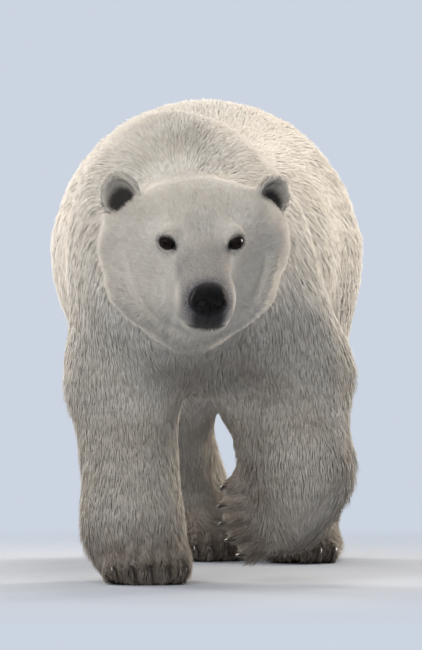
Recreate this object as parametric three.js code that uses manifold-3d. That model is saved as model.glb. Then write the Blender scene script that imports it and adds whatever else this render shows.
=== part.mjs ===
// A walking polar bear at life size: one closed solid for each part that a person would name.
//
// Frame: millimetres, +Z up, the ground at Z = 0. The bear faces -Y and its left side is +X. The origin
// lies on the ground under the middle of its bounding box.
//
// The outer form, out to the tips of the coat, is a smooth union of ellipsoids and tapered limbs. Each part
// is that form netted with facets of its own size, then parted from its neighbours by thin flat cuts.

import * as THREE from "three";
import { mergeVertices } from "three/addons/utils/BufferGeometryUtils.js";
import Module from "manifold-3d";

const wasm = await Module();
wasm.setup();

// ---------------------------------------------------------------------------------------------------
// Driving dimensions
// ---------------------------------------------------------------------------------------------------

const CUT = 0.6; // width of the cut between two parts
const CLEARANCE = 0.35; // room around a piece that is let into another
const BODY_BLEND = 130; // how softly the masses of the body run into each other
const LIMB_BLEND = 70;
const HEAD_BLEND = 62;
const NAPE_BLEND = 30; // sharper, so that the crown stands clear of the neck
const PAW_BLEND = 26;
const SOCKET_EASE = 1.08; // the socket's flats clear the ball
const SOCKET_LENGTH = 2; // from the eye's middle to the socket's open end, in radii of the eye
const BENT_WRIST_SHARE = 0.2; // how far up the forearm a lifted paw's part reaches
const BENT_WRIST_LEAN = 0.4; // how far its cut leans from the forearm towards the paw
const LIMB_REACH = 300; // how far a limb's net reaches past its joints
const PAW_REACH = 190;

// Facets round and along the small turned pieces; steps run from a rim to its middle.
const FACETS = {
  eye: [10, 7],
  socket: { steps: 3, sides: 12 },
  nose: [16, 9],
  ear: { steps: 4, sides: 16 },
  claw: [5, 2],
};

// Facet sizes along X, Y and Z, and how far the corners stand out so that the flats between them do not
// fall short of the round form.
const NETS = {
  trunk: { cell: [84, 116, 82], swell: 2 },
  neck: { cell: [72, 72, 72], swell: 2 },
  head: { cell: [36, 36, 35], swell: 1.4 },
  limb: { cell: [60, 60, 72], swell: 4 },
  paw: { cell: [43, 43, 37], swell: 2 },
  tail: { cell: [38, 38, 46], swell: 3 },
};

// The blocks of space that the nets of the single parts fill.
const SPANS = {
  trunk: { low: [-500, -760, 250], high: [500, 1010, 1230] },
  tail: { low: [-110, 700, 700], high: [120, 1000, 1030] },
  neck: { low: [-420, -860, 380], high: [380, -300, 1230] },
  head: { low: [-330, -1090, 450], high: [290, -560, 1080] },
};

// The masses of the trunk: a centre, three radii and, where it leans, a pitch in degrees.
const TRUNK_MASSES = [
  { name: "ribcage", at: [-50, -270, 780], radii: [224, 330, 290] },
  { name: "withers", at: [-112, -330, 888], radii: [140, 220, 192] },
  { name: "brisket", at: [-50, -440, 660], radii: [185, 150, 165] },
  { name: "belly", at: [-15, 178, 757], radii: [328, 400, 313] },
  { name: "rump", at: [-7, 520, 765], radii: [376, 358, 370] },
  { name: "right shoulder", at: [-184, -330, 740], radii: [108, 165, 220], pitch: 8 },
  { name: "left shoulder", at: [94, -345, 720], radii: [114, 165, 215], pitch: 4 },
];

const NECK = { from: [-64, -400, 846], to: [-42, -690, 752], radii: [221, 168], squash: 0.98 };
const TAIL = { from: [0, 828, 905], to: [6, 886, 800], radii: [50, 36], squash: 1.1 };

// The head's own frame: x to its left, y to the back, z up.
const HEAD_AT = [-34, -740, 800];
const HEAD_YAW = 8; // degrees, towards the bear's left
const HEAD_PITCH = 27; // degrees, nose down
const HEAD_MASSES = [
  { name: "cranium", at: [22, 50, 57], radii: [168, 116, 74] },
  { name: "cheeks", at: [4, 26, -18], radii: [222, 108, 136] },
  { name: "throat", at: [-3, -38, -97], radii: [190, 108, 91] },
  { name: "beard", at: [-6, -64, -150], radii: [60, 54, 76] },
  { name: "brow", at: [0, -50, 48], radii: [104, 84, 44] },
  { name: "bridge", at: [0, -126, 20], radii: [48, 96, 50] },
  { name: "snout", at: [0, -184, -10], radii: [55, 94, 57] },
  { name: "muzzle end", at: [0, -232, -16], radii: [58, 50, 53] },
  { name: "chin", at: [0, -192, -70], radii: [47, 72, 34] },
];
const MOUTH = { front: [0, -276, -60], back: [0, -168, -66], throat_angle: 52 };
const NOSE = { at: [0, -281, 13], radii: [44, 29, 38], boxiness: 0.5 };
const EYE = { at: [80, -106, 71], radius: 17, opening: 25 };
const EARS = [
  { name: "ear_right", side: -1, at: [-170, 58, 98] },
  { name: "ear_left", side: 1, at: [184, 58, 87] },
];
// An ear's dish: half its width and height, its depth, the thickness of its rim and how far the hollow's
// edge lies inside it, and the three angles in degrees at which it stands on the head.
const EAR = { radii: [49, 58], depth: 38, rim: 13, lip: 0.3, lean: 20, toe_out: 22, cant: 20 };

// How far along the body the legs' own parts reach.
const FORE_END = { at: [0, -150, 600], normal: [0, 1, 0.12] };
const HIND_END = { at: [0, 250, 600], normal: [0, -1, 0.12] };
// The planes between the two legs of a pair, facing the left leg.
const FORE_DIVIDE = { at: [-8, 0, 0], normal: [1, 0, 0] };
const HIND_DIVIDE = { at: [40, 0, 430], normal: [1, 0, 0.17] };

// Legs from the body down: radii are half the width at each joint, squash is width over depth. A leg parts
// from the trunk along a plane that rises from its inner side to the shoulder or hip. A fringe is the long
// hair that fills the crook of a bent leg.
const LEGS = [
  {
    name: "fore_right",
    joints: [[-160, -330, 770], [-200, -300, 500], [-177, -395, 135]],
    radii: [140, 133, 109],
    squash: 0.98,
    paw: { at: [-146, -440, 0], forward: [0.06, -1, 0], up: [0, 0, 1], kind: "fore" },
    parting: { inner: [-50, -330, 470], outer: [-340, -330, 775], divide: FORE_DIVIDE, end: FORE_END },
  },
  {
    name: "fore_left",
    joints: [[98, -330, 770], [181, -335, 500], [226, -470, 272]],
    radii: [146, 143, 102],
    squash: 1.02,
    fringe: { from: [72, -372, 430], to: [162, -440, 275], radii: [52, 50] },
    paw: { at: [170, -405, 170], forward: [-0.92, 0.12, -0.24], up: [-0.1, -0.98, 0.1], kind: "fore" },
    parting: { inner: [22, -330, 470], outer: [340, -330, 765], divide: FORE_DIVIDE, end: FORE_END },
  },
  {
    name: "hind_right",
    joints: [[-180, 560, 720], [-132, 470, 430], [-62, 705, 175]],
    radii: [185, 150, 94],
    squash: 0.92,
    paw: { at: [-8, 590, 0], forward: [0.1, -1, 0], up: [0, 0, 1], kind: "hind" },
    parting: { inner: [0, 560, 420], outer: [-381, 560, 840], divide: HIND_DIVIDE, end: HIND_END },
  },
  {
    name: "hind_left",
    joints: [[185, 560, 720], [202, 440, 430], [228, 625, 175]],
    radii: [185, 138, 94],
    squash: 0.92,
    paw: { at: [229, 500, 0], forward: [0.03, -1, 0], up: [0, 0, 1], kind: "hind" },
    parting: { inner: [20, 560, 420], outer: [381, 560, 840], divide: HIND_DIVIDE, end: HIND_END },
  },
];

// Paws, each in its own frame: x to its left, y to the heel, z away from the sole, the origin under the palm.
const PAWS = {
  fore: { width: 218, length: 236, height: 92, heel: 96, toe: 29, claw: 44 },
  hind: { width: 196, length: 300, height: 84, heel: 160, toe: 26, claw: 36 },
};
const TOES = 5;

// Shares of a paw's width, length, height and heel, and of a toe's radius.
const PALM = { rise: 0.45, radii: [0.5, 0.38, 0.6] };
const HEEL = { back: 0.62, rise: 0.42, radii: [0.37, 0.62, 0.8] };
const ANKLE = { back: 0.3, rise: 0.7, radius: 0.36 };
const TOE_ROOT = { spread: 0.3, forward: 0.12, rise: 1.25 };
const TOE_TIP = { spread: 0.385, forward: 0.43, sweep: 0.1, rise: 0.93 };
const CLAW_ROOT = { forward: 0.55, rise: 0.35 };
// A claw's width in mm, its depth over its width, the drop of its tip over its length, and degrees
// that it points down and that the outer toes' claws turn out.
const CLAW = { width: 15, depth: 1.3, hook: 0.32, pitch: 28, fan: 14 };

const GROUND = { at: [0, 0, 0], normal: [0, 0, -1] };
const NECK_PARTING = { at: [-60, -470, 850], normal: [0, -1, 0.32] };
const HEAD_PARTING = { at: [-38, -655, 830], normal: [0, -1, 0.05] };

const COLOURS = {
  coat: 0xe9e2d0,
  leg: 0xddd4c0,
  skin: 0x1d1b1c,
  eye: 0x120d0a,
  claw: 0x2a2521,
};

// ---------------------------------------------------------------------------------------------------
// Fields: functions of x, y and z that are negative inside a shape and near to a distance in millimetres
// ---------------------------------------------------------------------------------------------------

const FAR = 4000; // further than anything on the bear
const ON_AXIS = 1e-6; // nearer to an axis than this counts as on it
const rad = THREE.MathUtils.degToRad;
const vector = (p) => new THREE.Vector3(...p);

// The same field seen through a placing matrix.
function placed(matrix, field) {
  const m = matrix.clone().invert().elements;
  return (x, y, z) =>
    field(
      m[0] * x + m[4] * y + m[8] * z + m[12],
      m[1] * x + m[5] * y + m[9] * z + m[13],
      m[2] * x + m[6] * y + m[10] * z + m[14],
    );
}

function ellipsoid({ at, radii, pitch = 0 }) {
  const [a, b, c] = radii;
  const place = new THREE.Matrix4().makeRotationX(rad(pitch)).setPosition(...at);
  return placed(place, (x, y, z) => {
    const level = Math.hypot(x / a, y / b, z / c);
    const slope = Math.hypot(x / (a * a), y / (b * b), z / (c * c));
    return slope > 0 ? (level * (level - 1)) / slope : -Math.min(a, b, c);
  });
}

// A tapered limb between two joints; squash is its width along X over its depth along Y.
function limb({ from, to, radii, squash = 1 }) {
  const [ax, ay, az] = [from[0] / squash, from[1], from[2]];
  const [dx, dy, dz] = [to[0] / squash - ax, to[1] - ay, to[2] - az];
  const lengthSq = dx * dx + dy * dy + dz * dz;
  return (x, y, z) => {
    const [px, py, pz] = [x / squash - ax, y - ay, z - az];
    const t = THREE.MathUtils.clamp((px * dx + py * dy + pz * dz) / lengthSq, 0, 1);
    const radius = radii[0] + (radii[1] - radii[0]) * t;
    return Math.hypot(px - dx * t, py - dy * t, pz - dz * t) - radius;
  };
}

function blend(a, b, softness) {
  const h = Math.max(softness - Math.abs(a - b), 0) / softness;
  return Math.min(a, b) - (h * h * softness) / 4;
}

function blended(fields, softness) {
  return (x, y, z) => fields.reduce((sum, field) => blend(sum, field(x, y, z), softness), FAR);
}

const grown = (field, by) => (x, y, z) => field(x, y, z) - by;

// A frame whose -y axis looks along forward and whose z axis is as near to up as it can be.
function frameFacing(at, forward, up) {
  const back = vector(forward).negate().normalize();
  const left = new THREE.Vector3().crossVectors(back, vector(up)).normalize();
  const top = new THREE.Vector3().crossVectors(left, back);
  return new THREE.Matrix4().makeBasis(left, back, top).setPosition(...at);
}

// ---------------------------------------------------------------------------------------------------
// Nets: a field's surface as a closed mesh, one vertex in each cell that the surface passes through
// ---------------------------------------------------------------------------------------------------

const PULLS = 4; // steps that draw a vertex on to the surface
const PROBE = 0.5; // half the distance over which a slope is measured
const LEAST_SLOPE_SQ = 0.04; // where the field is nearly flat, a pull stays short

function gradient(field, [x, y, z]) {
  return new THREE.Vector3(
    field(x + PROBE, y, z) - field(x - PROBE, y, z),
    field(x, y + PROBE, z) - field(x, y - PROBE, z),
    field(x, y, z + PROBE) - field(x, y, z - PROBE),
  ).divideScalar(2 * PROBE);
}

function pulledOn(field, point) {
  for (let i = 0; i < PULLS; i++) {
    const slope = gradient(field, point.toArray());
    const step = field(...point.toArray()) / Math.max(slope.lengthSq(), LEAST_SLOPE_SQ);
    point.addScaledVector(slope, -step);
  }
  return point;
}

function netted(form, { low, high }, { cell, swell }) {
  const field = grown(form, swell);
  const counts = [0, 1, 2].map((i) => Math.ceil((high[i] - low[i]) / cell[i]) + 1);
  const [nx, ny, nz] = counts;
  const strides = [1, nx, nx * ny];
  const corner = (i, j, k) => [low[0] + i * cell[0], low[1] + j * cell[1], low[2] + k * cell[2]];
  const values = new Float64Array(nx * ny * nz);
  const onEdge = (i, j, k) => !i || !j || !k || i === nx - 1 || j === ny - 1 || k === nz - 1;
  for (let k = 0, at = 0; k < nz; k++)
    for (let j = 0; j < ny; j++)
      for (let i = 0; i < nx; i++, at++) {
        const value = field(...corner(i, j, k));
        values[at] = onEdge(i, j, k) ? Math.max(value, PROBE) : value;
      }

  const vertices = [];
  const vertexOf = new Map();
  for (let k = 0; k < nz - 1; k++)
    for (let j = 0; j < ny - 1; j++)
      for (let i = 0; i < nx - 1; i++) {
        const crossings = cellCrossings(values, strides, [i, j, k]);
        if (!crossings.length) continue;
        const middle = crossings
          .reduce((sum, p) => sum.add(p), new THREE.Vector3())
          .divideScalar(crossings.length)
          .multiply(vector(cell))
          .add(vector(corner(i, j, k)));
        vertexOf.set(i + j * strides[1] + k * strides[2], vertices.length);
        vertices.push(pulledOn(field, middle));
      }

  const index = [];
  for (let axis = 0; axis < 3; axis++) {
    const [u, v] = [(axis + 1) % 3, (axis + 2) % 3];
    for (let k = 0; k < nz; k++)
      for (let j = 0; j < ny; j++)
        for (let i = 0; i < nx; i++) {
          const at = [i, j, k];
          if (at[axis] === counts[axis] - 1 || !at[u] || !at[v]) continue;
          if (at[u] === counts[u] - 1 || at[v] === counts[v] - 1) continue;
          const here = i + j * strides[1] + k * strides[2];
          const inside = values[here] < 0;
          if (inside === values[here + strides[axis]] < 0) continue;
          const around = [
            here - strides[u] - strides[v],
            here - strides[v],
            here,
            here - strides[u],
          ].map((cellAt) => vertexOf.get(cellAt));
          if (!inside) around.reverse();
          index.push(...quad(field, vertices, around));
        }
  }
  return new THREE.BufferGeometry().setFromPoints(vertices).setIndex(index);
}

// The same net with each vertex moved straight out.
function outset(net, field, by) {
  const moved = net.clone();
  const position = moved.attributes.position;
  for (let i = 0; i < position.count; i++) {
    const point = new THREE.Vector3().fromBufferAttribute(position, i);
    point.addScaledVector(gradient(field, point.toArray()).normalize(), by);
    position.setXYZ(i, ...point.toArray());
  }
  return moved;
}

// Where the surface crosses the twelve edges of a cell, in cell units.
function cellCrossings(values, strides, at) {
  const base = at[0] + at[1] * strides[1] + at[2] * strides[2];
  const crossings = [];
  for (let axis = 0; axis < 3; axis++) {
    const [u, v] = [(axis + 1) % 3, (axis + 2) % 3];
    for (let side = 0; side < 4; side++) {
      const [du, dv] = [side & 1, side >> 1];
      const start = base + du * strides[u] + dv * strides[v];
      const a = values[start];
      const b = values[start + strides[axis]];
      if (a < 0 === b < 0) continue;
      const point = [0, 0, 0];
      point[axis] = a / (a - b);
      point[u] = du;
      point[v] = dv;
      crossings.push(vector(point));
    }
  }
  return crossings;
}

// Two triangles, folded along the diagonal that lies nearer to the surface.
function quad(field, vertices, [a, b, c, d]) {
  const miss = (p, q) => {
    const middle = vertices[p].clone().add(vertices[q]).multiplyScalar(0.5);
    return Math.abs(field(...middle.toArray()));
  };
  return miss(a, c) <= miss(b, d) ? [a, b, c, a, c, d] : [a, b, d, b, c, d];
}

// ---------------------------------------------------------------------------------------------------
// Solids
// ---------------------------------------------------------------------------------------------------

function solidOf(geometry) {
  const bare = geometry.clone();
  bare.deleteAttribute("normal");
  bare.deleteAttribute("uv");
  const merged = mergeVertices(bare, 1e-3);
  const vertProperties = merged.attributes.position.array;
  const triVerts = new Uint32Array(merged.index.array);
  return new wasm.Manifold(new wasm.Mesh({ numProp: 3, vertProperties, triVerts }));
}

function geometryOf(solid) {
  const mesh = solid.getMesh();
  const geometry = new THREE.BufferGeometry();
  geometry.setAttribute("position", new THREE.Float32BufferAttribute(mesh.vertProperties, 3));
  geometry.setIndex(new THREE.Uint32BufferAttribute(mesh.triVerts, 1));
  geometry.computeVertexNormals();
  return geometry;
}

// All that lies behind a plane, moved back along its normal by inset.
function behind({ at, normal }, inset = CUT / 2) {
  const out = vector(normal).normalize();
  const turn = new THREE.Quaternion().setFromUnitVectors(new THREE.Vector3(0, 0, 1), out);
  const box = new THREE.BoxGeometry(FAR, FAR, FAR);
  box.translate(0, 0, -FAR / 2 - inset).applyQuaternion(turn).translate(...at);
  return solidOf(box);
}

const flipped = ({ at, normal }) => ({ at, normal: normal.map((n) => -n) });

function common(solids) {
  return solids.reduce((sum, solid) => sum.intersect(solid));
}

// The largest of a solid's bodies.
function largest(solid) {
  return solid.decompose().reduce((best, body) => (body.volume() > best.volume() ? body : best));
}

// ---------------------------------------------------------------------------------------------------
// Body fields
// ---------------------------------------------------------------------------------------------------

const neckField = limb(NECK);
const tailField = limb(TAIL);
const trunkField = blended([...TRUNK_MASSES.map(ellipsoid), neckField], BODY_BLEND);

const headFrame = new THREE.Matrix4()
  .makeRotationFromEuler(new THREE.Euler(rad(HEAD_PITCH), 0, rad(HEAD_YAW), "ZXY"))
  .setPosition(...HEAD_AT);
const skullField = placed(headFrame, blended(HEAD_MASSES.map(ellipsoid), HEAD_BLEND));
const frontField = blended([trunkField, skullField], NAPE_BLEND);

const mixed = (a, b, share) => a.map((value, i) => value + (b[i] - value) * share);

// The paw alone, and the short limb that joins its palm to the wrist.
function pawField({ joints, radii, paw }) {
  const { width, length, height, heel, toe } = PAWS[paw.kind];
  const frame = frameFacing(paw.at, paw.forward, paw.up);
  const scaled = (shares, sizes) => shares.map((share, i) => share * sizes[i]);
  const palm = { at: [0, 0, PALM.rise * height], radii: scaled(PALM.radii, [width, length, height]) };
  const back = {
    at: [0, HEEL.back * heel, HEEL.rise * height],
    radii: scaled(HEEL.radii, [width, heel, height]),
  };
  const toes = toePlaces(paw.kind).map(({ root, tip }) => limb({ from: root, to: tip, radii: [toe, toe] }));
  const sole = placed(frame, blended([ellipsoid(palm), ellipsoid(back), ...toes], PAW_BLEND));
  const top = new THREE.Vector3(0, ANKLE.back * heel, ANKLE.rise * height).applyMatrix4(frame);
  const ankle = limb({ from: joints[2], to: top.toArray(), radii: [radii[2], ANKLE.radius * width] });
  return blended([sole, ankle], LIMB_BLEND);
}

// Root and tip of each toe in the paw's frame: a fan whose middle toe reaches furthest.
function toePlaces(kind) {
  const { width, length, toe } = PAWS[kind];
  return Array.from({ length: TOES }, (_, i) => {
    const side = (2 * i) / (TOES - 1) - 1;
    const root = [TOE_ROOT.spread * width * side, -TOE_ROOT.forward * length, TOE_ROOT.rise * toe];
    const reach = (TOE_TIP.forward - TOE_TIP.sweep * side * side) * length;
    const tip = [TOE_TIP.spread * width * side, -reach, TOE_TIP.rise * toe];
    return { root, tip, side };
  });
}

function limbField(leg) {
  const [top, middle, end] = leg.joints;
  const upper = limb({ from: top, to: middle, radii: leg.radii.slice(0, 2), squash: leg.squash });
  const lower = limb({ from: middle, to: end, radii: leg.radii.slice(1), squash: leg.squash });
  const fringes = leg.fringe ? [limb(leg.fringe)] : [];
  const whole = blended([upper, lower, pawField(leg), ...fringes], LIMB_BLEND);
  return blended([trunkField, whole], LIMB_BLEND);
}

// ---------------------------------------------------------------------------------------------------
// Parts
// ---------------------------------------------------------------------------------------------------

const parts = new Map();

// Where a leg leaves the trunk: the space below its slanting plane, on its own side and end of the body.
function limbSpace({ parting }, inset) {
  const { inner, outer, divide, end } = parting;
  const along = vector(outer).sub(vector(inner));
  const onLeft = along.x > 0;
  const slant = { at: inner, normal: [onLeft ? -along.z : along.z, 0, Math.abs(along.x)] };
  const inward = onLeft ? flipped(divide) : divide;
  return common([slant, inward, end].map((plane) => behind(plane, inset)));
}

function addLeg(leg) {
  const { name, joints, paw } = leg;
  const [top, middle, end] = joints;
  const field = limbField(leg);
  const space = limbSpace(leg, CUT / 2);
  const net = solidOf(netted(field, spanOf(joints, LIMB_REACH), NETS.limb));
  const whole = common([net, space, behind(NECK_PARTING)]);

  const down = vector(end).sub(vector(top)).toArray();
  const elbow = { at: middle, normal: down };
  const wrist = wristPlane(leg);
  parts.set(`${name}_upper`, largest(whole.intersect(behind(elbow))));
  parts.set(`${name}_lower`, largest(common([whole, behind(flipped(elbow)), behind(wrist)])));

  const foot = netted(field, spanOf([paw.at, end], PAW_REACH), NETS.paw);
  let solid = solidOf(foot).intersect(behind(flipped(wrist)));
  if (planted(paw)) solid = solid.intersect(behind(GROUND, 0));
  clawGeometries(leg, 0).forEach((geometry, i) => parts.set(`${name}_claw_${i + 1}`, solidOf(geometry)));
  for (const geometry of clawGeometries(leg, CLEARANCE)) solid = solid.subtract(solidOf(geometry));
  parts.set(`${name}_paw`, largest(solid));
}

// The block of space round some points, with room to spare on each side.
function spanOf(points, room) {
  const box = new THREE.Box3().setFromPoints(points.map(vector)).expandByScalar(room);
  return { low: box.min.toArray(), high: box.max.toArray() };
}

const planted = (paw) => paw.up[2] === 1;

function wristPlane({ joints, paw }) {
  if (planted(paw)) return { at: joints[2], normal: GROUND.normal };
  const forearm = vector(joints[2]).sub(vector(joints[1])).normalize();
  const normal = forearm.addScaledVector(vector(paw.forward).normalize(), BENT_WRIST_LEAN).toArray();
  return { at: mixed(joints[2], joints[1], BENT_WRIST_SHARE), normal };
}

// Curved claws, each let into the end of its toe.
function clawGeometries({ paw }, clearance) {
  const { toe, claw } = PAWS[paw.kind];
  const frame = frameFacing(paw.at, paw.forward, paw.up);
  return toePlaces(paw.kind).map(({ tip, side }) => {
    const radius = CLAW.width / 2 + clearance;
    const geometry = new THREE.ConeGeometry(radius, claw + 2 * clearance, ...FACETS.claw);
    geometry.rotateX(Math.PI).translate(0, -claw / 2, 0);
    const position = geometry.attributes.position;
    for (let i = 0; i < position.count; i++) {
      const out = -position.getY(i) / claw;
      position.setZ(i, position.getZ(i) * CLAW.depth - claw * CLAW.hook * out * out);
    }
    geometry.rotateX(rad(CLAW.pitch)).rotateZ(-rad(CLAW.fan * side));
    geometry.translate(tip[0], tip[1] - CLAW_ROOT.forward * toe, tip[2] + CLAW_ROOT.rise * toe);
    return geometry.applyMatrix4(frame);
  });
}

function addTrunk() {
  const legs = LEGS.map((leg) => limbField(leg));
  const field = (x, y, z) => legs.reduce((least, f) => Math.min(least, f(x, y, z)), trunkField(x, y, z));
  const net = netted(field, SPANS.trunk, NETS.trunk);
  const around = solidOf(outset(net, field, CLEARANCE));
  const tail = solidOf(netted(tailField, SPANS.tail, NETS.tail));
  parts.set("tail", largest(tail.subtract(around)));
  let solid = solidOf(net).intersect(behind(NECK_PARTING));
  for (const leg of LEGS) solid = solid.subtract(limbSpace(leg, -CUT / 2));
  parts.set("trunk", largest(solid));
}

function addNeck() {
  const neck = solidOf(netted(frontField, SPANS.neck, NETS.neck));
  parts.set("neck", largest(common([neck, behind(flipped(NECK_PARTING)), behind(HEAD_PARTING)])));
}

function addHead() {
  const front = behind(flipped(HEAD_PARTING));
  const net = netted(frontField, SPANS.head, NETS.head);
  const around = solidOf(outset(net, frontField, CLEARANCE));
  let head = solidOf(net).intersect(front);

  for (const [name, side] of [["left", 1], ["right", -1]]) {
    head = head.subtract(solidOf(eyeSocket(side)));
    parts.set(`eye_${name}`, solidOf(eyeGeometry(side)));
  }
  for (const ear of EARS) {
    const dish = solidOf(earGeometry(ear));
    parts.set(ear.name, largest(dish.subtract(around).intersect(front)));
  }
  head = head.subtract(solidOf(noseGeometry(CLEARANCE)));
  parts.set("nose", solidOf(noseGeometry(0)));

  const lip = placedPlane(MOUTH.front, [0, MOUTH.front[2] - MOUTH.back[2], MOUTH.back[1] - MOUTH.front[1]]);
  const angle = rad(MOUTH.throat_angle);
  const throat = placedPlane(MOUTH.back, [0, Math.sin(angle), -Math.cos(angle)]);
  const jawSpace = (inset) => behind(lip, inset).intersect(behind(throat, inset));
  parts.set("jaw", largest(head.intersect(jawSpace(CUT / 2))));
  parts.set("head", largest(head.subtract(jawSpace(-CUT / 2))));
}

function placedPlane(at, normal) {
  return {
    at: vector(at).applyMatrix4(headFrame).toArray(),
    normal: vector(normal).transformDirection(headFrame).toArray(),
  };
}

function eyeGeometry(side) {
  const ball = new THREE.SphereGeometry(EYE.radius, ...FACETS.eye);
  return ball.translate(EYE.at[0] * side, EYE.at[1], EYE.at[2]).applyMatrix4(headFrame);
}

// Angles from the axis to the rim in even steps.
function quarterTurn(steps) {
  return Array.from({ length: steps + 1 }, (_, i) => (Math.PI / 2) * (i / steps));
}

// The socket: the ball's own room, open to the front.
function eyeSocket(side) {
  const ball = (EYE.radius + CLEARANCE) * SOCKET_EASE;
  const { steps, sides } = FACETS.socket;
  const back = quarterTurn(steps).map((a) => new THREE.Vector2(ball * Math.sin(a), -ball * Math.cos(a)));
  const front = [EYE.opening, 0].map((r) => new THREE.Vector2(r, SOCKET_LENGTH * EYE.radius));
  const lathe = new THREE.LatheGeometry([...back, ...front], sides);
  lathe.rotateX(Math.PI);
  return lathe.translate(EYE.at[0] * side, EYE.at[1], EYE.at[2]).applyMatrix4(headFrame);
}

// The nose pad: a ball whose outline, seen from the front, is pushed towards a square.
function noseGeometry(clearance) {
  const pad = new THREE.SphereGeometry(1, ...FACETS.nose);
  const position = pad.attributes.position;
  for (let i = 0; i < position.count; i++) {
    const p = new THREE.Vector3().fromBufferAttribute(position, i);
    const round = Math.hypot(p.x, p.z);
    const square = Math.pow(p.x ** 4 + p.z ** 4, 0.25);
    const push = round > ON_AXIS ? (round / square) ** NOSE.boxiness : 1;
    p.multiply(new THREE.Vector3(push, 1, push));
    p.multiply(vector(NOSE.radii).addScalar(clearance)).add(vector(NOSE.at));
    position.setXYZ(i, ...p.toArray());
  }
  return pad.applyMatrix4(headFrame);
}

// An ear: a deep dish turned about its axis, then made oval and set leaning on the head.
function earGeometry({ side, at }) {
  const { radii, depth, rim, lip } = EAR;
  const inner = 1 - (2 * rim) / (radii[0] + radii[1]);
  const angles = quarterTurn(FACETS.ear.steps);
  const profile = (width, height, drop) =>
    angles.map((a) => new THREE.Vector2(width * Math.sin(a), height * Math.cos(a) - drop));
  const hollow = profile(inner, depth - rim, lip * rim);
  const back = profile(1, depth, 0).reverse();
  const dish = new THREE.LatheGeometry([...hollow, ...back], FACETS.ear.sides);
  dish.scale(radii[0], 1, radii[1]);
  dish.rotateX(rad(-EAR.lean)).rotateZ(rad(EAR.toe_out) * side).rotateY(rad(EAR.cant) * side);
  return dish.translate(...at).applyMatrix4(headFrame);
}

LEGS.forEach(addLeg);
addTrunk();
addNeck();
addHead();

// ---------------------------------------------------------------------------------------------------
// The group: each solid as a named mesh, standing with the origin under the middle of the whole
// ---------------------------------------------------------------------------------------------------

function materialFor(name) {
  if (name.startsWith("eye")) return new THREE.MeshStandardMaterial({ color: COLOURS.eye, roughness: 0.1 });
  if (name === "nose") return new THREE.MeshStandardMaterial({ color: COLOURS.skin, roughness: 0.45 });
  if (name.includes("claw")) return new THREE.MeshStandardMaterial({ color: COLOURS.claw, roughness: 0.4 });
  const onLeg = name.includes("paw") || name.includes("lower");
  return new THREE.MeshStandardMaterial({ color: onLeg ? COLOURS.leg : COLOURS.coat, roughness: 0.95 });
}

const group = new THREE.Group();
for (const [name, solid] of parts) {
  const mesh = new THREE.Mesh(geometryOf(solid), materialFor(name));
  mesh.name = name;
  group.add(mesh);
}
const bounds = new THREE.Box3().setFromObject(group);
const middle = bounds.getCenter(new THREE.Vector3());
for (const mesh of group.children) mesh.position.set(-middle.x, -middle.y, -bounds.min.z);

export default group;
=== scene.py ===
import math

import bpy
import numpy as np
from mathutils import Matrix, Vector
from mathutils.bvhtree import BVHTree


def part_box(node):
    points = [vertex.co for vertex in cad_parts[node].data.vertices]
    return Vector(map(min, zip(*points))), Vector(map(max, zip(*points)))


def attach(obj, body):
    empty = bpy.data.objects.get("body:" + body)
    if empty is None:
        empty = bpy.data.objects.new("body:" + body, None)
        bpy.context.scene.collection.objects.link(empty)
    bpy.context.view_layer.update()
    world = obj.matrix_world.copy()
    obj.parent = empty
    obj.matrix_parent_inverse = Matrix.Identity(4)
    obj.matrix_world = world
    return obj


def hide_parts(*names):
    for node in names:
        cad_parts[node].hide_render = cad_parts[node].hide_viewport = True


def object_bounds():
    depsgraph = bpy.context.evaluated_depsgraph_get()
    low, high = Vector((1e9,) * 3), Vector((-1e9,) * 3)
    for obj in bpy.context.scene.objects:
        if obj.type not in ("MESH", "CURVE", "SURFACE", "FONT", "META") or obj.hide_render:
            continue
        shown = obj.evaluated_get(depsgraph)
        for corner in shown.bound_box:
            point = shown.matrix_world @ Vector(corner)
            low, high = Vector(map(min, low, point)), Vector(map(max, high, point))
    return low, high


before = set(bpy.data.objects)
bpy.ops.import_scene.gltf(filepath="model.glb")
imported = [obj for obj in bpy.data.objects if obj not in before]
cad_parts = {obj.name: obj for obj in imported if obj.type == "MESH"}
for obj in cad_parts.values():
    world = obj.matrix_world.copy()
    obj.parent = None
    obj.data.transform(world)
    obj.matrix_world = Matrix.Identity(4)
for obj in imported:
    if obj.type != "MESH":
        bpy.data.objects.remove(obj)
CAD_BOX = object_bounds()

# A walking polar bear at life size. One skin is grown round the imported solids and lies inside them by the
# depth of the coat. Solid tufts stand on it and follow the lie of the hair. The eyes, the nose pad and the
# claws are pieces of their own. Lengths are in metres; +Z is up and the bear faces -Y.

RANDOM = np.random.default_rng(20)

# ---- Driving sizes ----

# Camera: a long lens from far off, as low as the bear's back.
CAMERA_DISTANCE = 25.0
CAMERA_ELEVATION = math.radians(1.84)
CAMERA_AIM = Vector((0.0099, 0.054, 0.0283))  # from the middle of the CAD box
VIEW_HEIGHT = 1.56  # what the picture takes in at the bear, along its longer side
SENSOR = 36.0

# The net of the skin: cells of this size, smaller where a lens magnifies the space that is netted.
CELL = 0.0112
EYE_LENS = dict(gain=2.3, reach=0.034)
EAR_LENS = dict(gain=1.5, reach=0.075)
MUZZLE_LENS = dict(gain=1.8, reach=0.10)
HEAD_LENS = dict(gain=2.2, reach=0.34)
PAW_LENS = dict(gain=1.6, reach=0.15)

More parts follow.
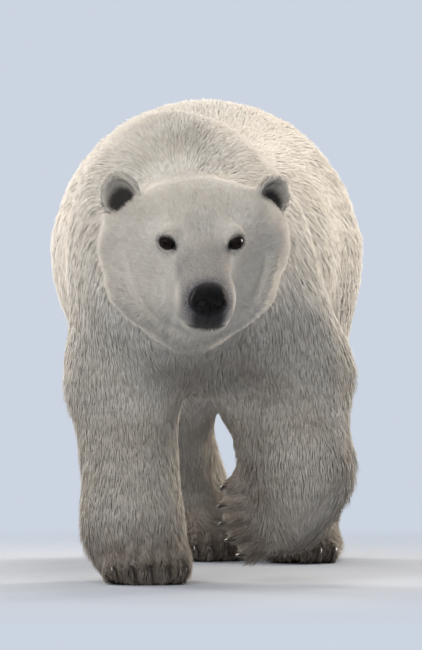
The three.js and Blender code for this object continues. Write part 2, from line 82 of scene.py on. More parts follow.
# Each kind of part: passes of smoothing, depth of the coat, and its tufts' length, width, lift in degrees
# and number for each square metre.
KINDS = {
    "head": dict(passes=90, depth=0.0050, length=0.020, width=0.0026, lift=11, density=125000),
    "jaw": dict(passes=40, depth=0.0050, length=0.024, width=0.0026, lift=11, density=110000),
    "ear": dict(passes=34, depth=0.0030, length=0.016, width=0.0024, lift=20, density=200000),
    "neck": dict(passes=150, depth=0.0105, length=0.045, width=0.0038, lift=8, density=50000),
    "trunk": dict(passes=190, depth=0.0115, length=0.050, width=0.0042, lift=8, density=30000),
    "tail": dict(passes=60, depth=0.0110, length=0.046, width=0.0040, lift=13, density=36000),
    "upper": dict(passes=150, depth=0.0100, length=0.044, width=0.0038, lift=8, density=36000),
    "lower": dict(passes=130, depth=0.0090, length=0.036, width=0.0034, lift=10, density=44000),
    "paw": dict(passes=60, depth=0.0060, length=0.024, width=0.0030, lift=13, density=76000),
}
FIELDS = ("depth", "length", "width", "lift", "density")

# The head's own frame: x to its left, y to the back, z up. Its origin is set by the eyes' middle.
EYES_IN_HEAD = np.array([0.0, -0.106, 0.071])
NOSE_IN_HEAD = np.array([0.0, -0.281, 0.013])
NOSE_DROP = math.atan2(58, 175)  # how far the nose lies below the level of the eyes, as an angle
NOSE_RADII = np.array([0.044, 0.029, 0.038])
MUZZLE_IN_HEAD = np.array([0.0, -0.225, -0.015])
MOUTH = ((-0.276, -0.060), (-0.168, -0.066))  # y and z at the front and where the jaw's cut ends

# A ball of this radius, set back by this depth, fills an eye's socket.
SOCKET_FILL = dict(radius=0.036, depth=0.020)
# The opening between the lids: half its length to the outer and to the inner corner, half its height, how
# far the inner corner drops, how thick the lids are, and how far the skin sinks behind the ball.
LIDS = dict(outer=0.0150, inner=0.0182, height=0.0124, drop=0.0034, thickness=0.0014, sink=0.012)

# The middles of two marks: a grey stain on the nape, and painted shade under the chin on the brisket, brown
# like soil.
NAPE = np.array([-0.052, -0.495, 1.055])
BRISKET_SHADE = np.array([0.02, -0.47, 0.48])


def unit(v):
    v = np.asarray(v, float)
    return v / np.maximum(np.linalg.norm(v, axis=-1, keepdims=True), 1e-12)


def smooth_step(x, start, end):
    t = np.clip((x - start) / (end - start), 0, 1)
    return t * t * (3 - 2 * t)


def kind_of(node):
    return next((kind for kind in KINDS if kind in node), None)


FLESH = sorted(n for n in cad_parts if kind_of(n) and "claw" not in n)
EARS = ("ear_left", "ear_right")


def on_head(labels):
    """Whether each point lies on the head or the jaw; a label is a place in FLESH."""
    return np.isin(np.array(FLESH)[labels], ("head", "jaw"))


def node_arrays(node):
    """A CAD node's points and its faces as triangles."""
    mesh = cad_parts[node].data
    mesh.calc_loop_triangles()
    points = np.empty(len(mesh.vertices) * 3)
    mesh.vertices.foreach_get("co", points)
    faces = np.empty(len(mesh.loop_triangles) * 3, np.int64)
    mesh.loop_triangles.foreach_get("vertices", faces)
    return points.reshape(-1, 3), faces.reshape(-1, 3)


def centre(node):
    low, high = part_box(node)
    return np.array((low + high) / 2)


def side_of(name):
    """1 on the left, -1 on the right."""
    return 1 if "left" in name else -1


def mesh_of(name, points, faces):
    """A mesh from arrays; every face has the same number of corners."""
    mesh = bpy.data.meshes.new(name)
    count, corners = faces.shape
    mesh.vertices.add(len(points))
    mesh.vertices.foreach_set("co", np.ascontiguousarray(points, np.float32).ravel())
    mesh.loops.add(count * corners)
    mesh.loops.foreach_set("vertex_index", np.ascontiguousarray(faces, np.int32).ravel())
    mesh.polygons.add(count)
    mesh.polygons.foreach_set("loop_start", np.arange(count, dtype=np.int32) * corners)
    mesh.update(calc_edges=True)
    return mesh


def piece(name, mesh, material, nodes=()):
    thing = bpy.data.objects.new(name, mesh)
    bpy.context.scene.collection.objects.link(thing)
    mesh.materials.append(material)
    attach(thing, "root")
    if nodes:
        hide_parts(*nodes)
    return thing


def give_attribute(mesh, name, values):
    attribute = mesh.attributes.new(name, "FLOAT", "POINT")
    attribute.data.foreach_set("value", np.ascontiguousarray(values, np.float32))


# ---- Materials ----


class Nodes:
    """A material's node tree, built by short calls."""

    def __init__(self, name):
        self.material = bpy.data.materials.new(name)
        self.material.use_nodes = True
        self.tree = self.material.node_tree
        self.shader = self.tree.nodes["Principled BSDF"]

    def node(self, kind, **settings):
        made = self.tree.nodes.new("ShaderNode" + kind)
        for key, value in settings.items():
            if key in made.inputs.keys():
                self.feed(made.inputs[key], value)
            else:
                setattr(made, key, value)
        return made

    def feed(self, socket, value):
        if isinstance(value, bpy.types.NodeSocket):
            self.tree.links.new(value, socket)
        else:
            socket.default_value = value

    def attribute(self, name):
        return self.node("Attribute", attribute_name=name).outputs["Fac"]

    def coordinates(self):
        return self.node("TexCoord").outputs["Object"]

    def noise(self, scale, detail=3.0, stretch=(1, 1, 1)):
        place = self.node("Mapping", Vector=self.coordinates(), Scale=stretch)
        made = self.node("TexNoise", Vector=place.outputs["Vector"], Scale=scale, Detail=detail)
        return made.outputs["Fac"]

    def math(self, operation, a, b=0.0, clamp=False):
        made = self.node("Math", operation=operation, use_clamp=clamp)
        self.feed(made.inputs[0], a)
        self.feed(made.inputs[1], b)
        return made.outputs[0]

    def ramp(self, value, low, high, out_low=0.0, out_high=1.0):
        made = self.node("MapRange", Value=value)
        limits = {"From Min": low, "From Max": high, "To Min": out_low, "To Max": out_high}
        for name, number in limits.items():
            made.inputs[name].default_value = number
        return made.outputs["Result"]

    def mixed(self, share, a, b, blend="MIX"):
        made = self.node("Mix", data_type="RGBA", blend_type=blend)
        self.feed(made.inputs[0], share)
        self.feed(made.inputs[6], a)
        self.feed(made.inputs[7], b)
        return made.outputs[2]

    def bump(self, height, distance, strength=1.0):
        made = self.node("Bump", Height=height, Distance=distance, Strength=strength)
        self.feed(self.shader.inputs["Normal"], made.outputs["Normal"])

    def shade(self, **settings):
        for key, value in settings.items():
            self.feed(self.shader.inputs[key.replace("_", " ")], value)
        return self.material


CREAM = (0.80, 0.75, 0.66, 1)
CREAM_SHADE = (0.66, 0.605, 0.51, 1)
# The brown that soil and painted shade share.
SOIL_AND_SHADE_BROWN = (0.118, 0.088, 0.067, 1)
DARK_SKIN = (0.095, 0.095, 0.115, 1)
BLACK_SKIN = (0.012, 0.011, 0.012, 1)
ROOT_SHADE = (0.42, 0.37, 0.30, 1)


def coat_colour(nodes):
    """Cream, browner where the coat is soiled and where shade is painted in, and dark where thin hair lets
    the skin through.
    """
    broad = nodes.noise(9.0, 3.0)
    fine = nodes.noise(70.0, 2.0)
    cream = nodes.mixed(nodes.ramp(broad, 0.35, 0.7), CREAM, CREAM_SHADE)
    cream = nodes.mixed(nodes.ramp(fine, 0.45, 0.75, 0.0, 0.45), cream, CREAM_SHADE)
    soil = nodes.attribute("soil")
    patchy = nodes.math("MULTIPLY", soil, nodes.ramp(nodes.noise(14.0, 4.0), 0.3, 0.65, 0.82, 1.08), True)
    colour = nodes.mixed(patchy, cream, SOIL_AND_SHADE_BROWN)
    colour = nodes.mixed(nodes.attribute("thin"), colour, DARK_SKIN)
    return nodes.mixed(nodes.attribute("bare"), colour, BLACK_SKIN)


def coat_material():
    nodes = Nodes("coat")
    colour = coat_colour(nodes)
    along = nodes.attribute("along")
    depth = nodes.mixed(nodes.ramp(along, 0.0, 0.4, 0.10, 0.0), colour, ROOT_SHADE, "MULTIPLY")
    shade = nodes.ramp(nodes.attribute("shade"), 0.0, 1.0, 0.90, 1.07)
    lit = nodes.node("HueSaturation", Value=shade, Color=depth).outputs["Color"]
    nodes.bump(nodes.noise(420.0, 2.0), 0.0008, 0.5)
    return nodes.shade(
        Base_Color=lit, Roughness=0.75, Specular_IOR_Level=0.2, Sheen_Weight=0.28, Sheen_Roughness=0.35,
        Sheen_Tint=(1.0, 0.94, 0.86, 1), Subsurface_Weight=0.35, Subsurface_Radius=(1.0, 0.85, 0.7),
        Subsurface_Scale=0.004,
    )


def skin_material():
    nodes = Nodes("skin")
    colour = coat_colour(nodes)
    nodes.bump(nodes.noise(300.0, 4.0), 0.0012, 0.8)
    return nodes.shade(Base_Color=colour, Roughness=0.8, Specular_IOR_Level=0.2)


def leather_material(name, colour, roughness, cell):
    """Moist pebbled skin."""
    nodes = Nodes(name)
    pebbles = nodes.node("TexVoronoi", Vector=nodes.coordinates(), Scale=1 / cell).outputs["Distance"]
    wear = nodes.noise(60.0, 3.0)
    pale = tuple(min(1.0, c * 2.2 + 0.01) for c in colour[:3]) + (1,)
    nodes.bump(nodes.math("ADD", pebbles, nodes.math("MULTIPLY", wear, 0.6)), cell * 0.35, 0.7)
    return nodes.shade(
        Base_Color=nodes.mixed(nodes.ramp(wear, 0.45, 0.8, 0.0, 0.7), colour, pale),
        Roughness=nodes.ramp(nodes.noise(140.0), 0.3, 0.7, roughness - 0.1, roughness + 0.12),
        Specular_IOR_Level=0.10,
    )


def horn_material():
    nodes = Nodes("horn")
    along = nodes.attribute("along")
    grain = nodes.noise(90.0, 4.0, (1, 1, 0.3))
    dark, pale = (0.022, 0.017, 0.014, 1), (0.11, 0.085, 0.06, 1)
    colour = nodes.mixed(nodes.ramp(along, 0.5, 1.0, 0.0, 0.5), dark, pale)
    colour = nodes.mixed(nodes.ramp(grain, 0.4, 0.8, 0.0, 0.6), colour, (0.06, 0.046, 0.035, 1))
    nodes.bump(grain, 0.0006, 0.6)
    return nodes.shade(Base_Color=colour, Roughness=nodes.ramp(grain, 0.3, 0.7, 0.28, 0.45))


def eye_material():
    """Attribute "iris" runs from 0 at the pupil's middle to 1 at the back of the ball."""
    nodes = Nodes("eye")
    ring = nodes.attribute("iris")
    streaks = nodes.noise(380.0, 3.0)
    brown = nodes.mixed(nodes.ramp(streaks, 0.35, 0.7), (0.014, 0.0075, 0.004, 1), (0.006, 0.0035, 0.0025, 1))
    inside = nodes.mixed(nodes.ramp(ring, 0.16, 0.20), (0.002, 0.002, 0.002, 1), brown)
    colour = nodes.mixed(nodes.ramp(ring, 0.36, 0.42), inside, (0.012, 0.008, 0.007, 1))
    nodes.bump(streaks, 0.0001, 0.3)
    return nodes.shade(Base_Color=colour, Roughness=0.26, Specular_IOR_Level=0.09)


# ---- The head's frame and the paws' frames, from the CAD nodes ----


class LocalFrame:
    """Axes x (left), y (back) and z (up) at an origin."""

    def __init__(self, origin, left, back):
        self.origin = np.asarray(origin, float)
        self.axes = np.array([left, back, np.cross(left, back)])

    def inside(self, points):
        return (points - self.origin) @ self.axes.T

    def outside(self, points):
        return np.asarray(points) @ self.axes + self.origin

    def turned(self, vectors):
        return np.asarray(vectors) @ self.axes


def head_frame():
    left = unit(centre("eye_left") - centre("eye_right"))
    middle = (centre("eye_left") + centre("eye_right")) / 2
    toward = centre("nose") - middle
    toward = unit(toward - left * (toward @ left))
    over = np.cross(toward, left)
    back = -(math.cos(NOSE_DROP) * toward + math.sin(NOSE_DROP) * over)
    made = LocalFrame(middle, left, back)
    made.origin = made.outside(-EYES_IN_HEAD)
    return made


HEAD = head_frame()


def nose_level(points):
    """1 on the nose pad's outline, less inside it, for points in the head's frame."""
    return np.linalg.norm((points - NOSE_IN_HEAD) / NOSE_RADII, axis=1)


EYE_REACH = 0.05  # no lid reaches farther from the eye's middle


class Eye:
    """An eye's ball, and its axes: to the outer corner, up and outward."""

    def __init__(self, node):
        side = side_of(node)
        low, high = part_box(node)
        self.node, self.centre, self.radius = node, centre(node), max(high - low) / 2
        out = unit([0.40 * side, -0.90, 0.17])
        along = unit(np.cross([0, 0, 1], out)) * side
        up = np.cross(out, along) * side
        tilt = math.radians(1)
        self.axes = HEAD.turned([
            along * math.cos(tilt) + up * math.sin(tilt),
            up * math.cos(tilt) - along * math.sin(tilt),
            out,
        ])

    def inside(self, points):
        return (points - self.centre) @ self.axes.T

    def close(self, points):
        return np.linalg.norm(points - self.centre, axis=1) < EYE_REACH

    def opening(self, points):
        """0 in the middle of the opening between the lids, 1 along their edge."""
        a, b, _ = self.inside(points).T
        inward = np.clip(-a / LIDS["inner"], 0, 1.5)
        half = np.where(a > 0, LIDS["outer"], LIDS["inner"])
        return np.hypot(a / half, (b + LIDS["drop"] * inward ** 2) / LIDS["height"])


EYES = [Eye("eye_left"), Eye("eye_right")]

CLAW_DROP = math.radians(45.7)  # how far a claw's tip lies below the paw's own level, as an angle
LEGS = ("fore_right", "fore_left", "hind_right", "hind_left")


def claw_ends(node):
    """The middle of a claw's root and its tip."""
    points, _ = node_arrays(node)
    middle = points.mean(0)
    tip = points[np.argmax(np.linalg.norm(points - middle, axis=1))]
    reach = np.linalg.norm(points - tip, axis=1)
    return points[reach > reach.max() * 0.9].mean(0), tip


def paw_frame(leg):
    """The origin is the middle claw's root; the sole's side is -z."""
    ends = [claw_ends(f"{leg}_claw_{i + 1}") for i in range(5)]
    roots = np.array([root for root, tip in ends])
    left = unit(roots[4] - roots[0])
    along = np.mean([tip - root for root, tip in ends], axis=0)
    along = unit(along - left * (along @ left))
    forward = math.cos(CLAW_DROP) * along + math.sin(CLAW_DROP) * np.cross(along, left)
    return LocalFrame(roots[2], left, -forward), roots


# ---- The skin: the solids netted as one surface, smoothed, and drawn in by the coat's depth ----


class Surface:
    """A net of four-sided cells, with the sums that run over its neighbours."""

    def __init__(self, points, quads):
        self.points = points
        self.quads = quads
        ends = np.concatenate([quads[:, [i, (i + 1) % 4]] for i in range(4)])
        both = np.unique(np.concatenate([ends, ends[:, ::-1]]), axis=0)
        self.neighbour = both[:, 1]
        self.starts = np.searchsorted(both[:, 0], np.arange(len(points)))
        self.degree = np.diff(np.append(self.starts, len(both)))

    def averaged(self, values):
        degree = self.degree if values.ndim == 1 else self.degree[:, None]
        return np.add.reduceat(values[self.neighbour], self.starts, axis=0) / degree

    def smoothed(self, values, passes):
        """passes is one number, or one for each point."""
        passes = np.broadcast_to(np.asarray(passes, float), (len(self.points),))
        values = values.copy()
        for step in range(math.ceil(passes.max())):
            share = 0.5 * np.clip(passes - step, 0, 1)
            share = share if values.ndim == 1 else share[:, None]
            values += (self.averaged(values) - values) * share
        return values

    def normals(self):
        corner = [self.points[self.quads[:, i]] for i in range(4)]
        flat = np.cross(corner[2] - corner[0], corner[3] - corner[1])
        total = np.zeros_like(self.points)
        for i in range(4):
            for axis in range(3):
                total[:, axis] += np.bincount(self.quads[:, i], flat[:, axis], len(self.points))
        return unit(total)

    def areas(self):
        corner = [self.points[self.quads[:, i]] for i in range(4)]
        return 0.5 * np.linalg.norm(np.cross(corner[2] - corner[0], corner[3] - corner[1]), axis=1)


def split(points, faces):
    """Each triangle as four."""
    a, b, c = (points[faces[:, i]] for i in range(3))
    ab, bc, ca = (a + b) / 2, (b + c) / 2, (c + a) / 2
    corners = np.stack([a, ab, ca, ab, b, bc, ca, bc, c, ab, bc, ca], 1).reshape(-1, 3)
    return corners, np.arange(len(corners)).reshape(-1, 3)


def drawn_out(points, middle, gain, reach):
    """Space magnified round a middle as far as a reach, and carried outward past it."""
    away = points - middle
    r = np.linalg.norm(away, axis=1, keepdims=True)
    return middle + away * np.where(r < reach, gain, 1 + reach * (gain - 1) / np.maximum(r, reach))


def drawn_in(points, middle, gain, reach):
    """Undoes drawn_out."""
    away = points - middle
    r = np.linalg.norm(away, axis=1, keepdims=True)
    far = (r - reach * (gain - 1)) / np.maximum(r, 1e-9)
    return middle + away * np.where(r < reach * gain, 1 / gain, far)


def make_lenses():
    """Each lens's middle is where the lenses before it have carried it."""
    wanted = [(eye.centre, EYE_LENS) for eye in EYES]
    wanted += [(centre(ear), EAR_LENS) for ear in EARS]
    wanted.append((HEAD.outside(MUZZLE_IN_HEAD), MUZZLE_LENS))
    wanted.append((HEAD.origin, HEAD_LENS))
    wanted += [(centre(f"{leg}_paw"), PAW_LENS) for leg in LEGS]
    made = []
    for middle, lens in wanted:
        for earlier in made:
            middle = drawn_out(middle[None], *earlier)[0]
        made.append((middle, lens["gain"], lens["reach"]))
    return made


def socket_plug(eye):
    """A ball that fills an eye's socket up to the lids."""
    points, faces = globe(24, 16)
    return points * SOCKET_FILL["radius"] + eye.centre - eye.axes[2] * SOCKET_FILL["depth"], faces


def netted_solids():
    """The flesh, with the nose's and the eyes' places filled, as one net of cells."""
    lenses = make_lenses()
    shapes = [split(*split(*node_arrays(node))) for node in FLESH + ["nose"]]
    shapes += [split(*socket_plug(eye)) for eye in EYES]
    counts = np.cumsum([0] + [len(points) for points, _ in shapes])
    points = np.concatenate([points for points, _ in shapes])
    faces = np.concatenate([faces + first for (_, faces), first in zip(shapes, counts)])
    for lens in lenses:
        points = drawn_out(points, *lens)
    solid = bpy.data.objects.new("solids", mesh_of("solids", points, faces))
    bpy.context.scene.collection.objects.link(solid)
    remesh = solid.modifiers.new("net", "REMESH")
    remesh.mode = "VOXEL"
    remesh.voxel_size = CELL
    net = solid.evaluated_get(bpy.context.evaluated_depsgraph_get()).to_mesh()
    points = np.empty(len(net.vertices) * 3)
    net.vertices.foreach_get("co", points)
    points = points.reshape(-1, 3)
    quads = np.empty(len(net.loops), np.int64)
    net.loops.foreach_get("vertex_index", quads)
    bpy.data.objects.remove(solid)
    for lens in reversed(lenses):
        points = drawn_in(points, *lens)
    return Surface(points, quads.reshape(-1, 4))


def nearest_nodes(points):
    """The index in FLESH of the CAD node nearest to each point."""
    all_points, all_faces, owner, total = [], [], [], 0
    for index, node in enumerate(FLESH):
        node_points, faces = node_arrays(node)
        all_points.append(node_points)
        all_faces.append(faces + total)
        owner.append(np.full(len(faces), index))
        total += len(node_points)
    owner = np.concatenate(owner)
    tree = BVHTree.FromPolygons(np.concatenate(all_points).tolist(), np.concatenate(all_faces).tolist())
    return owner[[tree.find_nearest(p)[2] for p in points.tolist()]]


def of_leg(leg, labels):
    """Whether each point lies on a leg's own nodes."""
    return np.array([n.startswith(leg) for n in FLESH])[labels]


def by_kind(surface, labels, name):
    """A measure of the coat over the surface; a paw behind its toes has its leg's measure."""
    values = np.array([KINDS[kind_of(n)][name] for n in FLESH], float)[labels]
    for leg in LEGS:
        mine = np.array(FLESH)[labels] == f"{leg}_paw"
        _, y, z = paw_frame(leg)[0].inside(surface.points).T
        ankle = np.maximum(smooth_step(y, 0.03, 0.11), smooth_step(z, 0.03, 0.09))
        values = np.where(mine, values + (KINDS["lower"][name] - values) * ankle, values)
    return values


def smooth_envelope(surface, labels):
    """Smooths away the facets, then fills the form out again by what the smoothing took."""
    passes = surface.smoothed(by_kind(surface, labels, "passes"), 25)
    rough = surface.points
    surface.points = surface.smoothed(rough, passes)
    normals = surface.normals()
    lost = surface.smoothed(((rough - surface.points) * normals).sum(1), passes * 1.5)
    surface.points = surface.points + normals * lost[:, None]


def mound(points, at, radius):
    """1 at a place in the head's frame, mirrored to both sides, falling to 0 round it."""
    away = np.stack([np.abs(points[:, 0]) - at[0], points[:, 1] - at[1], points[:, 2] - at[2]], 1)
    return np.exp(-(away ** 2).sum(1) / radius ** 2)


def line(distance, width):
    return np.exp(-(distance / width) ** 2)


def mouth_level(y, z):
    """How far above the line of the mouth a point of the head lies."""
    slope = (MOUTH[1][1] - MOUTH[0][1]) / (MOUTH[1][0] - MOUTH[0][0])
    return z - MOUTH[0][1] - slope * (y - MOUTH[0][0])


def ruff_level(x, z):
    """1 along the edge of the ruff that frames the face, less inside it."""
    return np.hypot(x / 0.173, (z - 0.028) / 0.193)


def face_relief(surface, labels):
    """How far the face's own forms stand out from the smooth head."""
    local = HEAD.inside(surface.points)
    x, y, z = local.T
    wide = np.abs(x)
    ruff = ruff_level(x, z)
    low_cheek = smooth_step(z, 0.02, -0.03) * smooth_step(y, 0.06, 0.02)
    beside_muzzle = smooth_step(y, -0.10, -0.13) * smooth_step(y, -0.225, -0.19)
    mouth = smooth_step(y, -0.190, -0.230) * smooth_step(wide, 0.070, 0.045)
    relief = (
        0.0028 * mound(local, (0.058, -0.085, 0.104), 0.030)  # brow
        - 0.0030 * line(x, 0.012) * smooth_step(y, 0.02, -0.04) * smooth_step(y, -0.14, -0.09)
        - 0.0030 * mound(local, (0.058, -0.128, 0.050), 0.016)  # under the eye
        + 0.0045 * mound(local, (0.036, -0.235, -0.032), 0.022)  # whisker pads
        + 0.0030 * mound(local, (0.0, -0.232, -0.088), 0.026)  # chin
        - 0.0050 * line(wide - 0.066, 0.009) * beside_muzzle * smooth_step(z, 0.05, 0.02)
        + (0.0055 * line(ruff - 1.05, 0.07) - 0.0035 * line(ruff - 0.93, 0.05)) * low_cheek
        + 0.0120 * mound(local, (0.198, 0.060, 0.042), 0.036)  # hair that fills in below the ear
        - 0.0055 * line(mouth_level(y, z), 0.0030) * mouth
        - 0.0030 * line(x, 0.0028) * smooth_step(y, -0.250, -0.262) * (z > MOUTH[0][1])
    )
    return relief * on_head(labels)


def toe_relief(surface, labels):
    """Furrows between the toes, and a swell along each."""
    relief = np.zeros(len(surface.points))
    for leg in LEGS:
        mine = of_leg(leg, labels)
        local, roots = paw_frame(leg)
        places = local.inside(roots)[:, 0]
        x, y, z = local.inside(surface.points).T
        near = smooth_step(y, 0.085, 0.035) * smooth_step(z, -0.050, -0.020) * smooth_step(z, 0.085, 0.045)
        near = near * (np.abs(x) < 0.13) * mine
        narrowing = 1 - 0.22 * np.clip(y, 0, 0.1) / 0.1
        for a, b in zip(places[:-1], places[1:]):
            relief -= 0.0070 * line(x - (a + b) / 2 * narrowing, 0.0080) * near
        for place in places:
            relief += 0.0020 * line(x - place * narrowing, 0.013) * near
    return relief


def make_envelope():
    """The outline of the coat's tips."""
    surface = netted_solids()
    labels = nearest_nodes(surface.points)
    smooth_envelope(surface, labels)
    relief = face_relief(surface, labels) + toe_relief(surface, labels)
    surface.points = surface.points + surface.normals() * relief[:, None]
    return surface, labels


def set_nose(surface):
    """Sinks the skin behind the nose pad."""
    local = HEAD.inside(surface.points)
    in_front = local[:, 1] < NOSE_IN_HEAD[1] + 0.01
    back = 0.012 * smooth_step(nose_level(local), 1.02, 0.80) * in_front
    surface.points = surface.points + back[:, None] * HEAD.axes[1]


def set_lids(surface):
    """Draws the skin over each ball as lids, and sinks it behind the ball within their opening."""
    for eye in EYES:
        a, b, c = eye.inside(surface.points).T
        opening = eye.opening(surface.points)
        away = np.hypot(a, b)
        near = (away < EYE_REACH) & (c > -0.010)
        cover = eye.radius + LIDS["thickness"]
        dome = np.sqrt(np.maximum(cover ** 2 - away ** 2, 0))
        raised = smooth_step(opening, 3.0, 1.6) * smooth_step(away, cover, 0.75 * cover)
        lowered = smooth_step(opening, 1.9, 1.1) * smooth_step(away, 1.35 * cover, 0.85 * cover)
        rise = (dome - c) * np.where(dome > c, raised, lowered)
        rise = rise - LIDS["sink"] * smooth_step(opening, 1.0, 0.85)
        surface.points = surface.points + (rise * near)[:, None] * eye.axes[2]


# ---- Fields over the skin: the coat's measures, its markings and the lie of the hair ----


def coat_measures(surface, labels):
    return {name: surface.smoothed(by_kind(surface, labels, name), 50) for name in FIELDS}


def shaped_measures(surface, normals, labels, measures):
    """Shorter hair towards the nose and the eyes; longer where the coat hangs in a fringe."""
    points = surface.points
    local = HEAD.inside(points)
    x, y, z = local.T
    names = np.array(FLESH)[labels]
    head = on_head(labels)
    muzzle = smooth_step(y, -0.10, -0.19) * head
    near_eye = np.max([smooth_step(eye.opening(points), 4.2, 1.4) for eye in EYES], axis=0) * head
    short = np.maximum(muzzle, near_eye)
    for name, share in (("depth", 0.66), ("length", 0.66), ("width", 0.45)):
        measures[name] = measures[name] * (1 - share * short)
    measures["density"] = measures["density"] * (1 + 1.1 * short)
    measures["lift"] = measures["lift"] - 6 * short
    measures["density"] = measures["density"] * smooth_step(nose_level(local), 1.04, 1.16)
    for eye in EYES:
        bald = smooth_step(eye.opening(points), 1.05, 1.25)
        measures["density"] = measures["density"] * np.where(eye.close(points), bald, 1)

    for ear in EARS:
        rim = smooth_step((normals * unit(points - ear_foot(ear))).sum(1), 0.45, 0.85) * (names == ear)
        measures["lift"] = measures["lift"] + 38 * surface.smoothed(rim, 2)

    beard = head * smooth_step(z, -0.12, -0.19) * (y > -0.18)
    ruff = head * smooth_step(ruff_level(x, z), 0.96, 1.06) * (z < 0.06)
    rear = np.isin(names, [f"{leg}_{part}" for leg in LEGS for part in ("lower", "paw")])
    rearward = 0.55 * normals[:, 1] + 0.75 * normals[:, 0] * np.sign(points[:, 0])
    fringe = rear * smooth_step(rearward, 0.35, 0.95) * smooth_step(points[:, 2], 0.03, 0.10)
    belly = (names == "trunk") * smooth_step(-normals[:, 2], 0.3, 0.9)
    for extra, longer, lifted in ((beard, 0.5, 8), (ruff, 0.25, 8), (fringe, 0.35, 8), (belly, 0.2, 4)):
        extra = surface.smoothed(extra.astype(float), 6)
        measures["length"] = measures["length"] * (1 + longer * extra)
        measures["lift"] = measures["lift"] + lifted * extra

    for leg in LEGS:
        _, roots = paw_frame(leg)
        near_claw = np.min([np.linalg.norm(points - root, axis=1) for root in roots], axis=0)
        tuft = smooth_step(near_claw, 0.050, 0.022) * of_leg(leg, labels)
        measures["length"] = measures["length"] * (1 + 0.25 * tuft)
        measures["lift"] = measures["lift"] + 6 * tuft

    sole = smooth_step(points[:, 2], 0.022, 0.004) * smooth_step(-normals[:, 2], 0.6, 0.9)
    measures["depth"] = measures["depth"] * (1 - 0.9 * sole)
    measures["density"] = measures["density"] * (1 - sole) * (1 - pads(surface, normals, labels))
    return measures


def pads(surface, normals, labels):
    """1 on the bare pads of the soles."""
    total = np.zeros(len(surface.points))
    for leg in LEGS:
        local, roots = paw_frame(leg)
        x, y, z = local.inside(surface.points).T
        below = smooth_step(-(normals @ local.axes[2]), 0.5, 0.8) * (np.abs(z) < 0.07)
        palm = smooth_step(np.hypot(x / 0.064, (y - 0.078) / 0.030), 1.1, 0.9)
        toes = [smooth_step(np.hypot((x - root[0]) / 0.016, (y - root[1] - 0.010) / 0.018), 1.15, 0.85)
                for root in local.inside(roots)]
        total = np.maximum(total, below * np.max([palm, *toes], axis=0) * of_leg(leg, labels))
    return total


def markings(surface, normals, labels):
    """Soil with painted shade, thin hair over dark skin, and bare skin: each runs from 0 to 1."""
    points = surface.points
    names = np.array(FLESH)[labels]
    # Soil and painted shade: the legs and the underside grow darker and browner towards the ground.
    soil = 0.42 * smooth_step(points[:, 2], 0.75, 0.25) + 0.58 * smooth_step(points[:, 2], 0.22, 0.04)
    # Painted shade on the lifted forepaw, with some soil: it darkens from the forearm down to the toes.
    _, toes = paw_frame("fore_left")
    from_toes = np.min([np.linalg.norm(points - toe, axis=1) for toe in toes], axis=0)
    soil = np.maximum(soil, 0.92 * of_leg("fore_left", labels) * smooth_step(from_toes, 0.34, 0.06))
    nape = np.linalg.norm(points - NAPE, axis=1) + 0.012 * wavy(points, 0.03, 9)[:, 0]
    soil = np.maximum(soil, 0.42 * smooth_step(nape, 0.085, 0.020))
    # Painted shade under the chin, on the brisket between the forelegs, brown like soil.
    brisket = np.linalg.norm(points - BRISKET_SHADE, axis=1)
    soil = np.maximum(soil, 0.60 * smooth_step(brisket, 0.28, 0.05))
    local = HEAD.inside(points)
    x, y, z = local.T
    head = on_head(labels)
    nose = nose_level(local)
    above_mouth = mouth_level(y, z)
    wide = np.abs(x)
    muzzle = smooth_step(y, -0.09, -0.18) * smooth_step(above_mouth, 0.000, 0.014)
    muzzle = muzzle * smooth_step(wide, 0.070, 0.058)
    bridge = smooth_step(y, -0.03, -0.10) * smooth_step(wide, 0.045, 0.020) * smooth_step(z, 0.0, 0.03)
    thin = 0.66 * np.maximum(muzzle, 0.58 * bridge) + 0.34 * smooth_step(nose, 1.9, 1.2)
    thin = thin * head
    lip = line(above_mouth + 0.001, 0.0034) * smooth_step(y, -0.215, -0.240) * smooth_step(wide, 0.052, 0.036)
    # Black lip skin, widened into painted shadow on the front of the muzzle below the nose.
    front_lip_and_shadow = smooth_step(wide, 0.050, 0.026) * smooth_step(y, -0.235, -0.255)
    front_lip_and_shadow = front_lip_and_shadow * smooth_step(above_mouth, -0.006, -0.001) * smooth_step(z, 0.0, -0.02)
    bare = np.max([lip, 0.9 * front_lip_and_shadow, smooth_step(nose, 1.20, 1.05)], axis=0) * head
    # The ear's hollow: dark skin through thin hair, and painted shade, brown then black, growing deeper into
    # the hollow.
    for ear in EARS:
        hollow = ear_hollow(points, ear) * ((names == ear) | head)
        thin = np.maximum(thin, 0.50 * hollow)
        soil = np.maximum(soil, 0.80 * hollow)
        bare = np.maximum(bare, 0.85 * hollow ** 3)
    for eye in EYES:
        close = eye.close(points)
        bare = np.maximum(bare, smooth_step(eye.opening(points), 1.48, 1.22) * close)
        thin = np.maximum(thin, 0.5 * smooth_step(eye.opening(points), 2.3, 1.5) * close)
    bare = np.maximum(bare, pads(surface, normals, labels))
    return {
        "soil": surface.smoothed(soil, 14),
        "thin": surface.smoothed(np.clip(thin, 0, 1), 2),
        "bare": surface.smoothed(np.clip(bare, 0, 1), 1),
    }


def ear_axis(ear):
    """The way an ear's hollow faces, and the middle of the ear."""
    return HEAD.turned(unit([0.42 * side_of(ear), -0.88, 0.14])), centre(ear)


def ear_foot(ear):
    """Where an ear grows from the head."""
    return HEAD.outside(HEAD.inside(centre(ear)) * [0.80, 1, 1] - [0, 0, 0.055])


